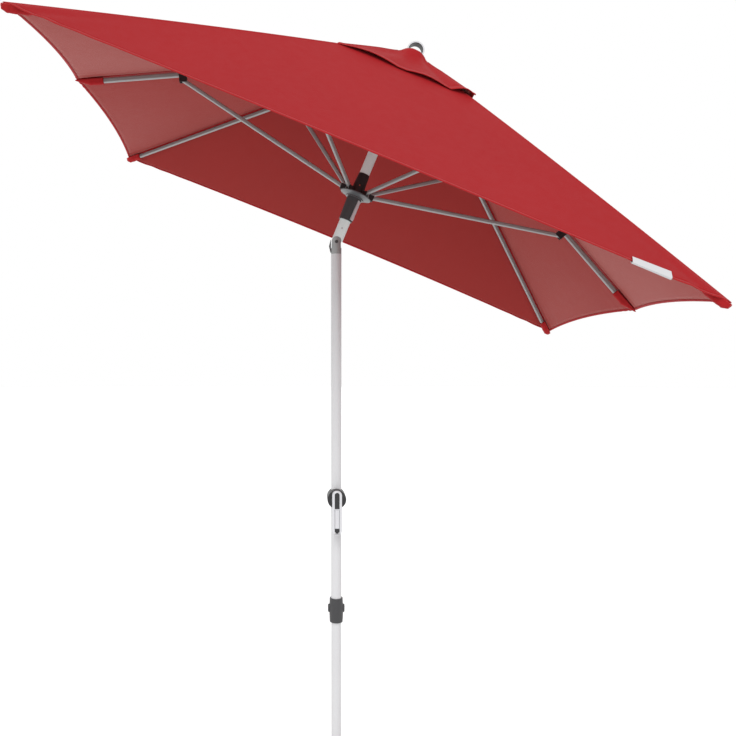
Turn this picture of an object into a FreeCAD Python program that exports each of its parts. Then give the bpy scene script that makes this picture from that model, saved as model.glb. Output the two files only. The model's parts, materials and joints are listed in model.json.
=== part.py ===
import FreeCAD, Part
import math
import os
import Sketcher
from FreeCAD import Placement, Rotation, Vector

# Rectangular market umbrella with a vented top, a tilt joint, a winding crank, a two-part
# pole and a weighted base. Millimetres, +Z up, origin on the floor at the pole's axis.
# The canopy is open and tilted; everything above the tilt joint is the "head" and is drawn
# upright about the tilt pivot, then turned and lifted into place by HEAD.

DIMENSIONS = {
    "tongue_rise": 19, "screw_start": 40, "screw_way": 24, "screw_face": 17.8,
    "screw_length": 1.7, "screw_height": 45, "bracket_half": 12, "bracket_rise": 5,
    "label_thickness": 1, "label_start": 9,
    "through": 120, "knob_notch_offset": 2, "pole_play": 0.25, "shaft_tip": 4, "pin_inset": 1.5,
    "pin_gap": 0.06, "tip_shoulder": 1, "well_width": 16.6, "well_height": 16, "well_low": 34,
    "lever_gap": 0.3, "lever_inner": 9, "lever_edge": 17.7, "lever_outer": 22.4,
    "lever_crest": 17.6, "lever_low": 32, "lever_slant": 13, "lever_shoulder": 11,
    "lever_top": 8, "lever_face": 16.75, "lever_foot": 20.5,
    # overall
    "pivot_height": 1860, "tilt_angle": 22.44,
    # weighted base and its socket
    "pad_side": 430, "pad_height": 4, "slab_side": 440, "slab_height": 50, "slab_corner": 24,
    "slab_edge": 5, "flange_radius": 75, "flange_height": 6, "bolt_circle": 55, "bolt_radius": 4,
    "bolt_hole_radius": 4.3, "bolt_depth": 40, "bolt_head_radius": 7.5, "bolt_head_height": 5,
    "socket_radius": 20, "socket_bore": 17, "socket_top": 296, "liner_radius": 16.9,
    "liner_bore": 15.1, "liner_bottom": 70, "liner_lip_radius": 22, "liner_lip_height": 4,
    "boss_radius": 9, "boss_reach": 32, "screw_radius": 4, "screw_bore": 4.1, "screw_tip": 15.3,
    "screw_reach": 37, "knob_radius": 21, "knob_depth": 14, "knob_notch": 5, "knob_edge": 2,
    "knob_low": 130, "knob_high": 250,
    # two-part pole
    "lower_radius": 15, "lower_bore": 13.6, "lower_bottom": 64, "lower_top": 855,
    "foot_plug": 18, "upper_radius": 16.25, "upper_bore": 15.2, "upper_bottom": 735,
    "fork_bottom": 37, "collar_bottom": 677, "collar_top": 751, "collar_end_radius": 20,
    "collar_mid_radius": 21.5, "button_height": 719,
    "button_half_width": 7.5, "button_reach": 5.5, "button_inner": 18.4, "button_outer": 25.95,
    "button_edge": 4.2,
    "button_gap": 0.25,
    # winding crank
    "crank_height": 1064.5, "housing_radius": 28.9, "housing_front": 44, "housing_back": 20,
    "housing_edge": 3, "shaft_radius": 5, "shaft_bore": 5.1, "shaft_back": 10, "spool_radius": 11,
    "spool_half": 9, "arm_back": 46, "arm_front": 58, "arm_half_width": 14.9, "arm_above": 28,
    "arm_below": 107, "arm_top_corner": 13, "arm_edge": 2, "insert_half_width": 7.5,
    "insert_top": 23.4, "insert_length": 49.6, "insert_depth": 3, "channel_half_width": 7.7,
    "channel_low": 103.6, "channel_high": 28.4, "channel_reach": 20, "handle_pivot": 95,
    "handle_length": 65.5,
    "handle_half_width": 7.2, "handle_half_depth": 3.7, "handle_tip": 7.2, "tip_top": 9,
    "pin_depth": 5, "hinge_pin_radius": 1.6,
    # tilt joint
    "tongue_half": 7.8, "slot_half": 8.1, "tongue_radius": 14, "slot_depth": 17.5,
    "fork_plug": 30, "fork_plug_radius": 15.1, "tilt_pin_radius": 4, "tilt_bore": 4.05,
    "pin_head_radius": 5, "pin_head_height": 1.5, "knuckle_gap": 16.8, "sleeve_radius": 17.25,
    "sleeve_bottom": 9, "sleeve_top": 74, "lever_half": 3.6, "lever_pivot_x": 13.5,
    "lever_pivot_drop": 26,
    # head tube, runner and crown
    "tube_radius": 16, "tube_bore": 14.5, "tube_bottom": 28, "tube_top": 612,
    "runner_bore": 17.6, "runner_bottom": 74, "runner_low_radius": 21, "runner_high_radius": 23.35,
    "dish_bottom": 148, "dish_step": 151, "trim_turn": 40, "dish_top": 160,
    "dish_low_radius": 29, "dish_radius": 49.5,
    "dish_rim": 3, "neck_bore": 16.2, "neck_low_radius": 21, "neck_high_radius": 17.4,
    "neck_top": 228.6, "rivet_height": 188, "rivet_radius": 2.5, "rivet_face": 20.8,
    "rivet_length": 4.4, "trim_half": 6,
    "trim_bottom": 79, "trim_top": 143, "trim_radius": 24.6, "hub_radius": 40, "hub_bottom": 598,
    "hub_core": 24, "boss_low_radius": 22, "boss_high_radius": 12, "boss_top": 638,
    "ring_radius": 27.5, "ring_centre": 645.6, "ring_wall": 4.5, "liner_wall": 2,
    "ring_half": 12.5,
    # canopy frame
    "canopy_length": 1800, "canopy_width": 1200, "apex_height": 637.5, "corner_height": 105.9,
    "mid_reach": 943, "mid_height": 160.7, "fabric_gap": 9.9, "rib_pivot_radius": 34,
    "rib_height": 15, "rib_width": 9, "rib_short": 14,
    "mid_rib_short": 58, "bar_edge": 4.2, "corner_joint": 393.5, "mid_joint": 682.3,
    "joint_drop": 17.6, "mid_pivot_radius": 47, "corner_pivot_radius": 30, "cheek_half": 8,
    "runner_pivot_height": 169.5,
    "strut_height": 13, "strut_width": 9, "hinge_radius": 2.5,     "slot_width": 9.7,
    "bracket_wall": 2, "block_wall": 3,
    # fabric
    "fabric_thickness": 1.5, "long_sag": 21, "end_sag": 20, "vent_ratio": 6, "cap_length": 420,
    "cap_width": 280, "cap_hem_height": 537, "cap_apex_height": 652, "cap_drop": 2.2,
    "label_length": 98, "label_height": 22, "label_inset": 205,
}

DOC = FreeCAD.newDocument("patio_umbrella")
SHEET = DOC.addObject("Spreadsheet::Sheet", "Dims")
for row, (alias, number) in enumerate(DIMENSIONS.items(), 1):
    SHEET.set(f"A{row}", alias)
    SHEET.set(f"B{row}", str(number))
    SHEET.setAlias(f"B{row}", alias)
DOC.recompute()

X, Y, Z = Vector(1, 0, 0), Vector(0, 1, 0), Vector(0, 0, 1)
SUBPARTS = []


# ---------------------------------------------------------------- sheet and feature helpers

def dim(alias):
    return float(SHEET.get(alias))


def is_number(word):
    return word.replace(".", "", 1).isdigit()


def value(text):
    """The number of a sum of named dimensions, such as 'arm_above + arm_edge - 2'."""
    total, sign = 0.0, 1
    for word in text.split():
        if word in ("+", "-"):
            sign = 1 if word == "+" else -1
            continue
        name, _, divisor = word.partition("/")
        amount = float(name) if is_number(name) else dim(name)
        total += sign * amount / float(divisor or 1)
        sign = 1
    return total


def formula(text):
    """The same sum as an expression on the sheet's cells."""
    words = [word if word in ("+", "-") or is_number(word) else "Dims." + word
             for word in text.split()]
    return " ".join(words)


def bind(thing, **properties):
    for name, text in properties.items():
        thing.setExpression(name, formula(text))


def subpart(thing, label, placement=None):
    """Name a finished object as one of the sub-parts, in its place."""
    thing.Label = label
    if placement is not None:
        thing.Placement = placement.multiply(thing.Placement)
    SUBPARTS.append(thing)
    return thing


def new_body(label):
    return DOC.addObject("PartDesign::Body", label + "_body")


def sketch_on(body, role):
    sketch = body.newObject("Sketcher::SketchObject", f"{body.Name}_{role[:2]}")
    plane = next(item for item in body.Origin.OriginFeatures if item.Role == role)
    sketch.AttachmentSupport = (plane, [""])
    sketch.MapMode = "FlatFace"
    return sketch


def pin_point(sketch, edge, end, across, up):
    """Hold one point of a sketch at named distances from the sketch's axes."""
    for kind, axis, text in (("DistanceX", -2, across), ("DistanceY", -1, up)):
        if value(text) == 0:
            sketch.addConstraint(Sketcher.Constraint("PointOnObject", edge, end, axis))
        else:
            index = sketch.addConstraint(
                Sketcher.Constraint(kind, -1, 1, edge, end, value(text)))
            sketch.setExpression(f"Constraints[{index}]", formula(text))


def add_polygon(sketch, points):
    corners = [Vector(value(across), value(up), 0) for across, up in points]
    first = sketch.GeometryCount
    for index, corner in enumerate(corners):
        following = corners[(index + 1) % len(corners)]
        sketch.addGeometry(Part.LineSegment(corner, following))
    for index in range(len(corners)):
        after = (index + 1) % len(corners)
        sketch.addConstraint(
            Sketcher.Constraint("Coincident", first + index, 2, first + after, 1))
    for index, (across, up) in enumerate(points):
        pin_point(sketch, first + index, 1, across, up)


def add_circle(sketch, radius, across="0", up="0"):
    centre = Vector(value(across), value(up), 0)
    edge = sketch.addGeometry(Part.Circle(centre, Z, value(radius)))
    pin_point(sketch, edge, 3, across, up)
    index = sketch.addConstraint(Sketcher.Constraint("Radius", edge, value(radius)))
    sketch.setExpression(f"Constraints[{index}]", formula(radius))


def add_oval(sketch, left, right, radius, up="0"):
    """Two equal round ends with centres at left and right, joined by tangent lines."""
    x_left, x_right, y, r = value(left), value(right), value(up), value(radius)
    quarter = math.pi / 2
    start = sketch.addGeometry(
        Part.ArcOfCircle(Part.Circle(Vector(x_left, y, 0), Z, r), quarter, 3 * quarter))
    stop = sketch.addGeometry(
        Part.ArcOfCircle(Part.Circle(Vector(x_right, y, 0), Z, r), -quarter, quarter))
    below = sketch.addGeometry(
        Part.LineSegment(Vector(x_left, y - r, 0), Vector(x_right, y - r, 0)))
    above = sketch.addGeometry(
        Part.LineSegment(Vector(x_right, y + r, 0), Vector(x_left, y + r, 0)))
    for one, end, other, meeting in ((start, 2, below, 1), (below, 2, stop, 1),
                                     (stop, 2, above, 1), (above, 2, start, 1)):
        sketch.addConstraint(Sketcher.Constraint("Tangent", one, end, other, meeting))
    pin_point(sketch, start, 3, left, up)
    pin_point(sketch, stop, 3, right, up)
    index = sketch.addConstraint(Sketcher.Constraint("Radius", start, r))
    sketch.setExpression(f"Constraints[{index}]", formula(radius))


def pad(body, sketch, length, symmetric=False, backwards=False):
    feature = body.newObject("PartDesign::Pad", body.Name + "_pad")
    feature.Profile = (sketch, [""])
    bind(feature, Length=length)
    feature.SideType = "Symmetric" if symmetric else "One side"
    feature.Reversed = backwards
    sketch.Visibility = False
    return feature


def pocket(body, sketch, depth, symmetric=False, backwards=False):
    """Cut a sketch into the body, and check that it took something away."""
    DOC.recompute()
    before = body.Shape.Volume
    feature = body.newObject("PartDesign::Pocket", body.Name + "_pocket")
    feature.Profile = (sketch, [""])
    bind(feature, Length=depth)
    feature.SideType = "Symmetric" if symmetric else "One side"
    feature.Reversed = backwards
    DOC.recompute()
    if body.Shape.Volume >= before - 1e-6:
        raise RuntimeError(feature.Name + " cuts nothing")
    return feature


def revolved(label, points):
    """A body turned about its Z axis from (radius, height) points."""
    body = new_body(label)
    sketch = sketch_on(body, "XZ_Plane")
    add_polygon(sketch, points)
    feature = body.newObject("PartDesign::Revolution", body.Name + "_turn")
    feature.Profile = (sketch, [""])
    feature.ReferenceAxis = (sketch, ["V_Axis"])
    feature.Angle = 360
    return body


def tube(label, outer, bore, low, high):
    return revolved(label, [(bore, low), (outer, low), (outer, high), (bore, high)])


def rounded(body, radius, wanted):
    """Fillet the edges of the body's last feature that wanted(edge) picks."""
    DOC.recompute()
    base = body.Tip
    names = [f"Edge{index}" for index, edge in enumerate(base.Shape.Edges, 1) if wanted(edge)]
    if not names:
        raise RuntimeError(body.Name + " has no such edge")
    feature = body.newObject("PartDesign::Fillet", body.Name + "_fillet")
    feature.Base = (base, names)
    bind(feature, Radius=radius)
    return feature


def along(edge, direction, shortest=0):
    """True for a straight edge parallel to a direction and longer than a limit."""
    if edge.Curve.TypeId != "Part::GeomLine" or edge.Length <= shortest:
        return False
    return abs(edge.tangentAt(edge.FirstParameter).dot(direction)) > 0.999


def at_level(edge, axis, level):
    """True for an edge that lies wholly in the plane at a level along an axis."""
    points = edge.discretize(5)
    return all(abs(point.dot(axis) - level) < 1e-4 for point in points)


def rod(radius, start, reach, direction=Z):
    """A Part cylinder from a start point; reach is a sum of dimensions."""
    thing = DOC.addObject("Part::Cylinder", "rod")
    bind(thing, Radius=radius, Height=reach)
    thing.Placement = Placement(start, Rotation(Z, direction))
    return thing


def block(length, width, height, corner):
    thing = DOC.addObject("Part::Box", "block")
    bind(thing, Length=length, Width=width, Height=height)
    thing.Placement = Placement(corner, Rotation())
    return thing


def fused(*things):
    thing = DOC.addObject("Part::MultiFuse", "fused")
    thing.Shapes = list(things)
    thing.Refine = True
    return thing


def cut(base, *tools):
    for tool in tools:
        thing = DOC.addObject("Part::Cut", "cut")
        thing.Base = base
        thing.Tool = tool
        base = thing
    base.Refine = True
    return base


def common(one, other):
    thing = DOC.addObject("Part::Common", "common")
    thing.Base = one
    thing.Tool = other
    return thing


def group(things):
    thing = DOC.addObject("Part::Compound", "group")
    thing.Links = list(things)
    return thing


def moved(thing, placement):
    thing.Placement = placement.multiply(thing.Placement)
    return thing


def lift(height):
    return Placement(Vector(0, 0, height), Rotation())


HEAD = Placement(Vector(0, 0, dim("pivot_height")), Rotation(Y, dim("tilt_angle")))
PIVOT = lift(dim("pivot_height"))


# ---------------------------------------------------------------- weighted base

def square_plate(label, side, height, corner, low):
    body = new_body(label)
    half = side + "/2"
    sketch = sketch_on(body, "XY_Plane")
    add_polygon(sketch, [("- " + half, "- " + half), (half, "- " + half), (half, half),
                         ("- " + half, half)])
    pad(body, sketch, height)
    rounded(body, corner, lambda edge: along(edge, Z))
    body.Placement = lift(low)
    return body


def bolt_holes(body, radius, depth, backwards):
    """One bolt hole repeated four times round the pole's axis."""
    sketch = sketch_on(body, "XY_Plane")
    add_circle(sketch, radius, "bolt_circle")
    hole = pocket(body, sketch, depth, backwards=backwards)
    pattern = body.newObject("PartDesign::PolarPattern", body.Name + "_bolts")
    pattern.Originals = [hole]
    pattern.Axis = (sketch, ["N_Axis"])
    pattern.Angle = 360
    pattern.Occurrences = 4
    body.Tip = pattern


def make_base():
    subpart(square_plate("base_pad", "pad_side", "pad_height", "slab_corner", 0), "base_pad")

    slab_low = dim("pad_height")
    slab = square_plate("base_slab", "slab_side", "slab_height", "slab_corner", slab_low)
    rounded(slab, "slab_edge", lambda edge: at_level(edge, Z, dim("slab_height")))
    bolt_holes(slab, "bolt_hole_radius", "slab_height", backwards=True)
    subpart(slab, "base_slab")

    slab_top = slab_low + dim("slab_height")
    flange = new_body("socket_flange")
    sketch = sketch_on(flange, "XY_Plane")
    add_circle(sketch, "flange_radius")
    pad(flange, sketch, "flange_height")
    bolt_holes(flange, "bolt_hole_radius", "flange_height", backwards=True)
    subpart(flange, "socket_flange", lift(slab_top))

    flange_top = slab_top + dim("flange_height")
    bolts = []
    for turn in range(4):
        place = Placement(Vector(), Rotation(Z, 90 * turn)).multVec(
            Vector(dim("bolt_circle"), 0, flange_top))
        shank = rod("bolt_radius", place - Z * dim("bolt_depth"), "bolt_depth")
        head = rod("bolt_head_radius", place, "bolt_head_height")
        bolts.append(fused(shank, head))
    subpart(group(bolts), "flange_bolts")

    knob_heights = {"lower": dim("knob_low"), "upper": dim("knob_high")}
    socket = tube("socket_tube", "socket_radius", "socket_bore",
                  "pad_height + slab_height + flange_height", "socket_top")
    liner = revolved("pole_sleeve", [
        ("liner_bore", "liner_bottom"), ("liner_radius", "liner_bottom"),
        ("liner_radius", "socket_top"), ("liner_lip_radius", "socket_top"),
        ("liner_lip_radius", "socket_top + liner_lip_height"),
        ("liner_bore", "socket_top + liner_lip_height")])
    for body in (socket, liner):
        sketch = sketch_on(body, "YZ_Plane")
        for level in ("knob_low", "knob_high"):
            add_circle(sketch, "bolt_hole_radius", "0", level)
        pocket(body, sketch, "liner_lip_radius", backwards=True)
    subpart(socket, "socket_tube")
    subpart(liner, "pole_sleeve")

    bosses = []
    for height in knob_heights.values():
        centre = Vector(0, 0, height)
        boss = rod("boss_radius", centre, "boss_reach", X)
        bosses.append(cut(boss, rod("socket_radius", Vector(0, 0, height - 20), "40"),
                          rod("screw_bore", centre, "boss_reach", X)))
    subpart(group(bosses), "socket_bosses")

    for name, height in knob_heights.items():
        knob = new_body("clamp_knob_" + name)
        sketch = sketch_on(knob, "YZ_Plane")
        add_circle(sketch, "knob_radius")
        pad(knob, sketch, "knob_depth")
        sketch = sketch_on(knob, "YZ_Plane")
        add_circle(sketch, "knob_notch", "knob_radius + knob_notch_offset")
        notch = pocket(knob, sketch, "knob_depth", backwards=True)
        pattern = knob.newObject("PartDesign::PolarPattern", "knob_notches")
        pattern.Originals = [notch]
        pattern.Axis = (sketch, ["N_Axis"])
        pattern.Angle = 360
        pattern.Occurrences = 6
        knob.Tip = pattern
        rounded(knob, "knob_edge", lambda edge: at_level(edge, X, dim("knob_depth")))
        knob.Placement = Placement(Vector(dim("screw_reach"), 0, height), Rotation())
        screw = rod("screw_radius", Vector(dim("screw_tip"), 0, height),
                    "screw_reach - screw_tip", X)
        subpart(fused(knob, screw), "clamp_knob_" + name)


# ---------------------------------------------------------------- two-part pole

def make_pole():
    subpart(tube("lower_pole", "lower_radius", "lower_bore", "lower_bottom", "lower_top"),
            "lower_pole")
    floor = "pad_height + slab_height + flange_height"
    subpart(revolved("pole_foot_cap", [
        ("0", floor), ("lower_radius", floor), ("lower_radius", "lower_bottom"),
        ("lower_bore", "lower_bottom"), ("lower_bore", "lower_bottom + foot_plug"),
        ("0", "lower_bottom + foot_plug")]), "pole_foot_cap")

    upper = tube("upper_pole", "upper_radius", "upper_bore", "upper_bottom",
                 "pivot_height - fork_bottom")
    sketch = sketch_on(upper, "XZ_Plane")
    add_circle(sketch, "shaft_radius + 1", "0", "crank_height")
    pocket(upper, sketch, "upper_radius", backwards=True)
    subpart(upper, "upper_pole")
    make_collar()


def make_collar():
    """Barrel-shaped grip at the foot of the upper pole, with a push button on each side."""
    body = new_body("height_collar")
    sketch = sketch_on(body, "XZ_Plane")
    middle = (value("collar_bottom") + value("collar_top")) / 2
    inside = [("collar_end_radius", "collar_top"), ("upper_radius", "collar_top"),
              ("upper_radius", "upper_bottom"), ("lower_radius + pole_play", "upper_bottom"),
              ("lower_radius + pole_play", "collar_bottom"), ("collar_end_radius", "collar_bottom")]
    for index in range(len(inside) - 1):
        ends = [Vector(value(across), value(up), 0) for across, up in inside[index:index + 2]]
        sketch.addGeometry(Part.LineSegment(*ends))
        if index:
            sketch.addConstraint(Sketcher.Constraint("Coincident", index - 1, 2, index, 1))
    for index, (across, up) in enumerate(inside[:-1]):
        pin_point(sketch, index, 1, across, up)
    last = len(inside) - 2
    pin_point(sketch, last, 2, *inside[-1])
    barrel = sketch.addGeometry(Part.Arc(
        Vector(dim("collar_end_radius"), dim("collar_bottom"), 0),
        Vector(dim("collar_mid_radius"), middle, 0),
        Vector(dim("collar_end_radius"), dim("collar_top"), 0)))
    sketch.addConstraint(Sketcher.Constraint("Coincident", barrel, 1, last, 2))
    sketch.addConstraint(Sketcher.Constraint("Coincident", barrel, 2, 0, 1))
    feature = body.newObject("PartDesign::Revolution", "collar_turn")
    feature.Profile = (sketch, [""])
    feature.ReferenceAxis = (sketch, ["V_Axis"])
    feature.Angle = 360
    DOC.recompute()

    centre = Vector(0, 0, dim("button_height"))
    openings = []
    for name, turn in (("right", 0), ("left", 180)):
        place = Placement(centre, Rotation(Z, turn))
        openings.append(moved(oval_bar("button_half_width + button_gap", "housing_radius", 0),
                              place))
        button = oval_bar("button_half_width", "button_outer - button_inner",
                          dim("button_inner"))
        rounded(button, "button_edge",
                lambda edge: at_level(edge, Z, dim("button_outer") - dim("button_inner")))
        subpart(moved(button, place), "collar_button_" + name)
    subpart(cut(body, *openings), "height_collar")


def oval_bar(half_width, length, start):
    """An upright oval bar that points along +X and begins at a distance from the axis."""
    body = new_body("oval_bar")
    sketch = sketch_on(body, "XY_Plane")
    add_oval(sketch, "- button_reach", "button_reach", half_width)
    pad(body, sketch, length)
    body.Placement = Placement(X * start, Rotation(Y, 90))
    return body


# ---------------------------------------------------------------- winding crank

def make_crank():
    centre = lift(dim("crank_height"))
    forward = Placement(Vector(), Rotation(X, 90))      # sketch Y up, pad towards the user

    body = new_body("crank_housing")
    sketch = sketch_on(body, "XY_Plane")
    add_circle(sketch, "housing_radius")
    pad(body, sketch, "housing_front + housing_back")
    rounded(body, "housing_edge", lambda edge: edge.Closed)
    body.Placement = centre.multiply(Placement(Y * dim("housing_back"), Rotation(X, 90)))
    around = rod("upper_radius", Vector(0, 0, dim("crank_height") - dim("through") / 2), "through")
    shaft_way = rod("shaft_bore", centre.Base - Y * dim("through"), "through", Y)
    subpart(cut(body, around, shaft_way), "crank_housing")

    shaft = rod("shaft_radius", centre.Base - Y * (dim("arm_back") + dim("shaft_tip")),
                "arm_back + shaft_tip + shaft_back", Y)
    spool = rod("spool_radius", centre.Base - Y * dim("spool_half"), "spool_half + spool_half", Y)
    subpart(fused(shaft, spool), "crank_spool")

    arm = new_body("crank_arm")
    sketch = sketch_on(arm, "XY_Plane")
    add_polygon(sketch, [("- arm_half_width", "arm_half_width - arm_below"),
                         ("arm_half_width", "arm_half_width - arm_below"),
                         ("arm_half_width", "arm_above"), ("- arm_half_width", "arm_above")])
    pad(arm, sketch, "arm_front - arm_back")
    rounded(arm, "arm_top_corner",
            lambda edge: along(edge, Z) and edge.CenterOfMass.y > 0)
    sketch = sketch_on(arm, "XY_Plane")
    add_circle(sketch, "arm_half_width", "0", "arm_half_width - arm_below")
    pad(arm, sketch, "arm_front - arm_back")
    rounded(arm, "arm_edge",
            lambda edge: at_level(edge, Z, dim("arm_front") - dim("arm_back")))
    arm.Placement = centre.multiply(forward).multiply(lift(dim("arm_back")))
    front = Vector(0, -dim("arm_front"), dim("crank_height"))
    insert_well = insert_plate("insert_depth", front)
    channel = block("channel_half_width + channel_half_width", "channel_reach",
                    "channel_low - channel_high",
                    front + Vector(-dim("channel_half_width"), -dim("channel_reach") / 4,
                                   -dim("channel_low")))
    pivot = front + Vector(0, dim("pin_depth"), -dim("handle_pivot"))
    pin_start = pivot - X * (dim("arm_half_width") - dim("pin_inset"))
    pin_length = "arm_half_width + arm_half_width - pin_inset - pin_inset"
    subpart(cut(arm, insert_well, channel, rod("hinge_pin_radius", pin_start, pin_length, X),
                rod("shaft_radius", centre.Base - Y * (dim("arm_back") + dim("shaft_tip")), "shaft_tip", Y)),
            "crank_arm")
    subpart(insert_plate("insert_depth", front), "crank_insert")
    subpart(rod("hinge_pin_radius", pin_start, pin_length, X), "handle_pin")

    pin_way = rod("hinge_pin_radius + pin_gap", pin_start, pin_length, X)
    handle = new_body("crank_handle")
    sketch = sketch_on(handle, "YZ_Plane")
    half = "handle_half_depth"
    add_polygon(sketch, [("- " + half, "tip_top"), (half, "tip_top"), (half, "handle_length"),
                         ("- " + half, "handle_length")])
    pad(handle, sketch, "handle_half_width + handle_half_width", symmetric=True)
    rounded(handle, "arm_edge", lambda edge: along(edge, Z))
    handle.Placement = Placement(pivot, Rotation())
    subpart(handle, "crank_handle")

    tip = new_body("handle_tip")
    sketch = sketch_on(tip, "XZ_Plane")
    wide = "handle_half_width"
    add_polygon(sketch, [("- " + wide, "tip_top"), ("- " + wide, "- tip_shoulder"),
                         ("0", "- handle_tip"), (wide, "- tip_shoulder"), (wide, "tip_top")])
    pad(tip, sketch, half + " + " + half, symmetric=True)
    tip.Placement = Placement(pivot, Rotation())
    subpart(cut(tip, pin_way), "handle_tip")


def insert_plate(depth, front):
    """Plain inlay of the crank arm: round at the top, straight at the bottom."""
    body = new_body("insert")
    sketch = sketch_on(body, "XY_Plane")
    add_polygon(sketch, [("- insert_half_width", "insert_top - insert_length"),
                         ("insert_half_width", "insert_top - insert_length"),
                         ("insert_half_width", "insert_top - insert_half_width"),
                         ("- insert_half_width", "insert_top - insert_half_width")])
    pad(body, sketch, depth)
    sketch = sketch_on(body, "XY_Plane")
    add_circle(sketch, "insert_half_width", "0", "insert_top - insert_half_width")
    pad(body, sketch, depth)
    body.Placement = Placement(front + Y * dim("insert_depth"), Rotation(X, 90))
    return body


# ---------------------------------------------------------------- tilt joint

def make_tilt_joint():
    """A fork on the fixed pole, and a tongue on the head's sleeve, on one cross pin."""
    pivot = PIVOT.Base
    width = 2 * dim("upper_radius")
    post = rod("upper_radius", pivot - Z * dim("fork_bottom"), "fork_bottom")
    plug = rod("fork_plug_radius", pivot - Z * (dim("fork_bottom") + dim("fork_plug")),
               "fork_plug")
    crown = common(rod("upper_radius", pivot, "upper_radius"),
                   rod("upper_radius", pivot - Y * width / 2, "upper_radius + upper_radius", Y))
    slot = block("through", "slot_half + slot_half", "slot_depth + through",
                 pivot - Vector(dim("through") / 2, dim("slot_half"), dim("slot_depth")))
    pin_hole = rod("tilt_pin_radius", pivot - Y * width, "through", Y)
    lever_well = block("well_width", "lever_half + lever_half + lever_gap + lever_gap",
                       "well_height", pivot + Vector(-dim("lever_outer"), -dim("lever_half")
                                                     - dim("lever_gap"), -dim("well_low")))
    subpart(cut(fused(post, plug, crown), slot, pin_hole, lever_well), "tilt_fork")

    pin = rod("tilt_pin_radius", pivot - Y * dim("upper_radius"), "upper_radius + upper_radius",
              Y)
    heads = [rod("pin_head_radius", pivot + Y * start, "pin_head_height", Y)
             for start in (-dim("upper_radius") - dim("pin_head_height"), dim("upper_radius"))]
    subpart(fused(pin, *heads), "tilt_pin")

    lever = new_body("tilt_lever")
    sketch = sketch_on(lever, "XZ_Plane")
    add_polygon(sketch, [
        ("- lever_inner", "- lever_low"), ("- lever_edge", "- lever_low"),
        ("- lever_outer", "- lever_slant"), ("- lever_outer", "- lever_shoulder"),
        ("- lever_crest", "lever_top"), ("- lever_face", "lever_top"),
        ("- lever_face", "- lever_foot"), ("- lever_inner", "- lever_foot")])
    pad(lever, sketch, "lever_half + lever_half", symmetric=True)
    lever.Placement = PIVOT
    lever_axis = pivot + Vector(-dim("lever_pivot_x"), -dim("through") / 2,
                                -dim("lever_pivot_drop"))
    subpart(cut(lever, rod("hinge_pin_radius + pin_gap", lever_axis, "through", Y)),
            "tilt_lever")
    subpart(rod("hinge_pin_radius", lever_axis
                + Y * (dim("through") / 2 - dim("lever_half") - dim("lever_gap")),
                "lever_half + lever_half + lever_gap + lever_gap", Y), "lever_pin")

    collar = rod("sleeve_radius", Z * dim("sleeve_bottom"), "sleeve_top - sleeve_bottom")
    hollow = rod("tube_radius", Z * dim("tube_bottom"), "sleeve_top")
    round_gap = rod("knuckle_gap", Vector(0, -dim("through") / 2, 0), "through", Y)
    tongue = fused(
        rod("tongue_radius", Vector(0, -dim("tongue_half"), 0), "tongue_half + tongue_half", Y),
        block("tongue_radius + tongue_radius", "tongue_half + tongue_half", "tongue_rise",
              Vector(-dim("tongue_radius"), -dim("tongue_half"), 0)))
    screw_way = Vector(0, -dim("screw_start"), dim("screw_height"))
    whole = cut(fused(cut(collar, hollow, round_gap), tongue),
                rod("tilt_bore", Vector(0, -dim("through") / 2, 0), "through", Y),
                rod("rivet_radius", screw_way, "screw_way", Y))
    subpart(whole, "tilt_sleeve", HEAD)
    screw = Vector(0, -dim("screw_face"), dim("screw_height"))
    subpart(rod("rivet_radius", screw, "screw_length", Y), "sleeve_screw", HEAD)


# ---------------------------------------------------------------- head tube and runner

def make_runner():
    subpart(tube("head_tube", "tube_radius", "tube_bore", "tube_bottom", "tube_top"),
            "head_tube", HEAD)
    sleeve = [("runner_bore", "runner_bottom"), ("runner_low_radius", "runner_bottom"),
              ("runner_high_radius", "dish_bottom"), ("runner_bore", "dish_bottom")]
    subpart(revolved("runner_sleeve", sleeve), "runner_sleeve", HEAD)
    strip = block("trim_radius", "trim_half + trim_half", "trim_top - trim_bottom",
                  Vector(0, -dim("trim_half"), dim("trim_bottom")))
    core = revolved("sleeve_shape", [("0", "runner_bottom")] + sleeve[1:3]
                    + [("0", "dish_bottom")])
    turned = Placement(Vector(), Rotation(Z, -dim("trim_turn")))
    subpart(group([moved(cut(strip, core), turned)]), "runner_trim", HEAD)
    subpart(revolved("runner_dish", [
        ("runner_bore", "dish_bottom"), ("dish_low_radius", "dish_bottom"),
        ("dish_low_radius", "dish_step"), ("dish_radius", "dish_top - dish_rim"), ("dish_radius", "dish_top"),
        ("runner_bore", "dish_top")]), "runner_dish", HEAD)
    neck = revolved("runner_neck", [
        ("neck_bore", "dish_top"), ("neck_low_radius", "dish_top"),
        ("neck_high_radius", "neck_top"), ("neck_bore", "neck_top")])
    rivet_face = Vector(0, -dim("rivet_face"), dim("rivet_height"))
    subpart(cut(neck, rod("rivet_radius", rivet_face, "rivet_face", Y)), "runner_neck", HEAD)
    subpart(rod("rivet_radius", rivet_face, "rivet_length", Y), "runner_rivet", HEAD)


def rib_azimuths():
    corner = math.degrees(math.atan2(dim("canopy_width"), dim("canopy_length")))
    return {"front_right": -corner, "right": 0, "back_right": corner,
            "back_left": 180 - corner, "left": 180, "front_left": 180 + corner}


def rib_slope(name):
    """Downward angle of a rib from the crown, in degrees."""
    if name in ("left", "right"):
        return math.degrees(math.atan2(dim("apex_height") - dim("mid_height"), dim("mid_reach")))
    half_diagonal = math.hypot(dim("canopy_length"), dim("canopy_width")) / 2
    return math.degrees(math.atan2(dim("apex_height") - dim("corner_height"), half_diagonal))


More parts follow.
